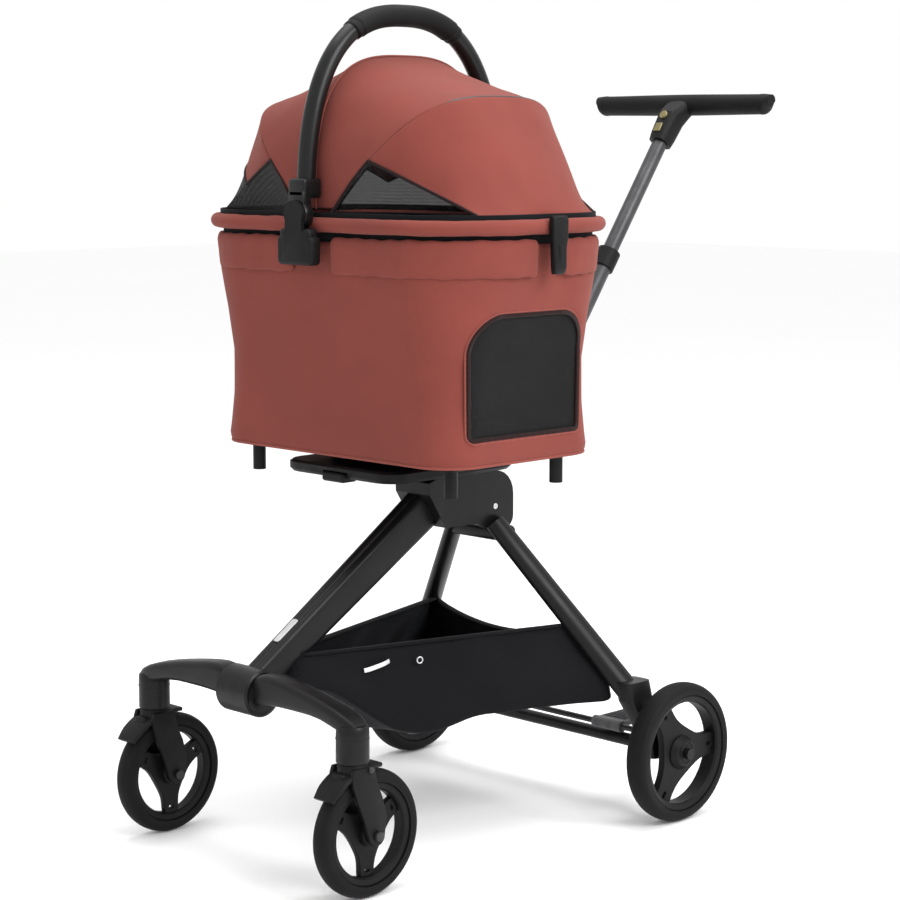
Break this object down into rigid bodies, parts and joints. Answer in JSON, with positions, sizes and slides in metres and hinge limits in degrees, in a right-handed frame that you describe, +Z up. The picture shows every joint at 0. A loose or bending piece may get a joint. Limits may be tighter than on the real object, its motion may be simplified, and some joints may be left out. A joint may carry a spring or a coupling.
{
  "type": "pet stroller",
  "caption": "Folding pet stroller: lift-off terracotta fabric carrier with folding hood and carry handle on a black caster chassis with a telescoping push bar.",
  "frame": {"origin": "centre of the whole object's footprint, on the ground it stands on", "axes": "+Z up, -Y towards the front casters, +Y towards the person pushing, +X to the right-hand end of the carrier seen from the front casters' side with the push bar behind"},
  "size_m": [0.579, 0.9501, 1.128],
  "materials": {
    "casting": "satin black powder coat",
    "moulding": "fine-textured black nylon",
    "tube": "dark anodised",
    "steel": "zinc plated",
    "grip": "soft matt black",
    "tyre": "matt black",
    "grey": "grey moulding",
    "fabric": "terracotta woven polyester",
    "black_fabric": "black woven polyester",
    "mesh": "black open mesh"
  },
  "bodies": {
    "frame": {"front_knuckle": "casting", "knuckle_bolt": "steel", "main_beam": "casting", "hub_housing": "casting", "leg_hinge_pin": "steel", "hub_screw": "steel", "carrier_platform": "moulding", "pole_hinge_pin": "steel", "front_bar_left": "casting", "front_bar_right": "casting", "storage_basket": "black_fabric"},
    "release_lever": {"carrier_release_lever": "moulding"},
    "caster_left": {"caster_fork_left": "moulding", "front_axle_left": "steel"},
    "caster_right": {"caster_fork_right": "moulding", "front_axle_right": "steel"},
    "front_wheel_left": {"front_wheel_left_tyre": "tyre", "front_wheel_left_rim": "moulding"},
    "front_wheel_right": {"front_wheel_right_tyre": "tyre", "front_wheel_right_rim": "moulding"},
    "rear_frame": {"leg_yoke": "casting", "rear_leg_left": "tube", "rear_leg_right": "tube", "rear_foot_left": "casting", "rear_foot_right": "casting", "rear_axle_bar": "tube"},
    "rear_wheel_left": {"rear_wheel_left_tyre": "tyre", "rear_wheel_left_rim": "moulding"},
    "rear_wheel_right": {"rear_wheel_right_tyre": "tyre", "rear_wheel_right_rim": "moulding"},
    "brake": {"brake_link_rod": "steel", "brake_pedal": "grey"},
    "push_bar": {"pole_yoke": "casting", "pole_lower_tube": "tube", "pole_collar": "moulding"},
    "push_handle": {"pole_upper_tube": "tube", "handle_neck": "moulding", "push_grip": "grip"},
    "release_button": {"release_button": "steel"},
    "height_trigger": {"height_trigger": "steel"},
    "carrier": {"carrier_shell": "fabric", "mesh_window_left": "mesh", "mesh_window_right": "mesh", "floor_board": "moulding", "pet_mat": "black_fabric", "carrier_base": "moulding", "lower_rim_cuff": "fabric", "upper_rim": "fabric", "hood_bow_centre": "moulding", "canopy_top": "fabric", "hood_end_left": "fabric", "hood_end_right": "fabric", "handle_mount_front": "moulding", "handle_mount_rear": "moulding"},
    "hood_left": {"hood_bow_left": "moulding"},
    "hood_right": {"hood_bow_right": "moulding"},
    "carry_handle": {"carry_handle": "moulding", "carry_grip": "grip"},
    "latch_left": {"rim_latch_left": "moulding"},
    "latch_right": {"rim_latch_right": "moulding"}
  },
  "joints": [
    {"name": "carrier_release_press", "type": "hinge", "parent": "frame", "child": "release_lever", "pos_m": [0, -0.2396, 0.504], "axis": [1, 0, 0], "range_deg": [0, 10], "stiffness_Nm_per_rad": 0.6},
    {"name": "caster_swivel_left", "type": "hinge", "parent": "frame", "child": "caster_left", "pos_m": [-0.2005, -0.4136, 0.1], "axis": [0, 0, 1], "continuous": true},
    {"name": "front_wheel_spin_left", "type": "hinge", "parent": "caster_left", "child": "front_wheel_left", "pos_m": [-0.2005, -0.3921, 0.083], "axis": [1, 0, 0], "continuous": true},
    {"name": "caster_swivel_right", "type": "hinge", "parent": "frame", "child": "caster_right", "pos_m": [0.2005, -0.4136, 0.1], "axis": [0, 0, 1], "continuous": true},
    {"name": "front_wheel_spin_right", "type": "hinge", "parent": "caster_right", "child": "front_wheel_right", "pos_m": [0.2005, -0.3921, 0.083], "axis": [1, 0, 0], "continuous": true},
    {"name": "rear_frame_fold", "type": "hinge", "parent": "frame", "child": "rear_frame", "pos_m": [0, 0.0159, 0.434], "axis": [-1, 0, 0], "range_deg": [0, 48], "deforming": ["storage_basket"]},
    {"name": "rear_wheel_spin_left", "type": "hinge", "parent": "rear_frame", "child": "rear_wheel_left", "pos_m": [-0.2655, 0.1439, 0.098], "axis": [1, 0, 0], "continuous": true},
    {"name": "rear_wheel_spin_right", "type": "hinge", "parent": "rear_frame", "child": "rear_wheel_right", "pos_m": [0.2655, 0.1439, 0.098], "axis": [1, 0, 0], "continuous": true},
    {"name": "brake_press", "type": "hinge", "parent": "rear_frame", "child": "brake", "pos_m": [0, 0.1229, 0.1215], "axis": [-1, 0, 0], "range_deg": [0, 12]},
    {"name": "push_bar_fold", "type": "hinge", "parent": "frame", "child": "push_bar", "pos_m": [0, 0.0925, 0.502], "axis": [-1, 0, 0], "range_deg": [0, 100]},
    {"name": "handle_height", "type": "slide", "parent": "push_bar", "child": "push_handle", "axis": [0, -0.5807, -0.8141], "range_m": [0, 0.15]},
    {"name": "release_button_press", "type": "slide", "parent": "push_handle", "child": "release_button", "axis": [0, 0.8141, -0.5807], "range_m": [0, 0.003], "stiffness_N_per_m": 300},
    {"name": "height_trigger_press", "type": "slide", "parent": "push_handle", "child": "height_trigger", "axis": [0, 0.8141, -0.5807], "range_m": [0, 0.003], "stiffness_N_per_m": 300},
    {"name": "carrier_lift", "type": "slide", "parent": "frame", "child": "carrier", "axis": [0, 0, 1], "range_m": [0, 0.15]},
    {"name": "hood_fold_left", "type": "hinge", "parent": "carrier", "child": "hood_left", "pos_m": [-0.03, -0.1301, 0.858], "axis": [0, -1, 0], "range_deg": [0, 36], "deforming": ["canopy_top", "hood_end_left"]},
    {"name": "hood_fold_right", "type": "hinge", "parent": "carrier", "child": "hood_right", "pos_m": [0.03, -0.1301, 0.858], "axis": [0, 1, 0], "range_deg": [0, 36], "deforming": ["canopy_top", "hood_end_right"]},
    {"name": "carry_handle_swing", "type": "hinge", "parent": "carrier", "child": "carry_handle", "pos_m": [0, -0.1301, 0.852], "axis": [0, 1, 0], "range_deg": [-46, 46]},
    {"name": "rim_latch_open_left", "type": "hinge", "parent": "carrier", "child": "latch_left", "pos_m": [-0.284, -0.1301, 0.786], "axis": [0, -1, 0], "range_deg": [0, 60]},
    {"name": "rim_latch_open_right", "type": "hinge", "parent": "carrier", "child": "latch_right", "pos_m": [0.284, -0.1301, 0.786], "axis": [0, 1, 0], "range_deg": [0, 60]}
  ]
}
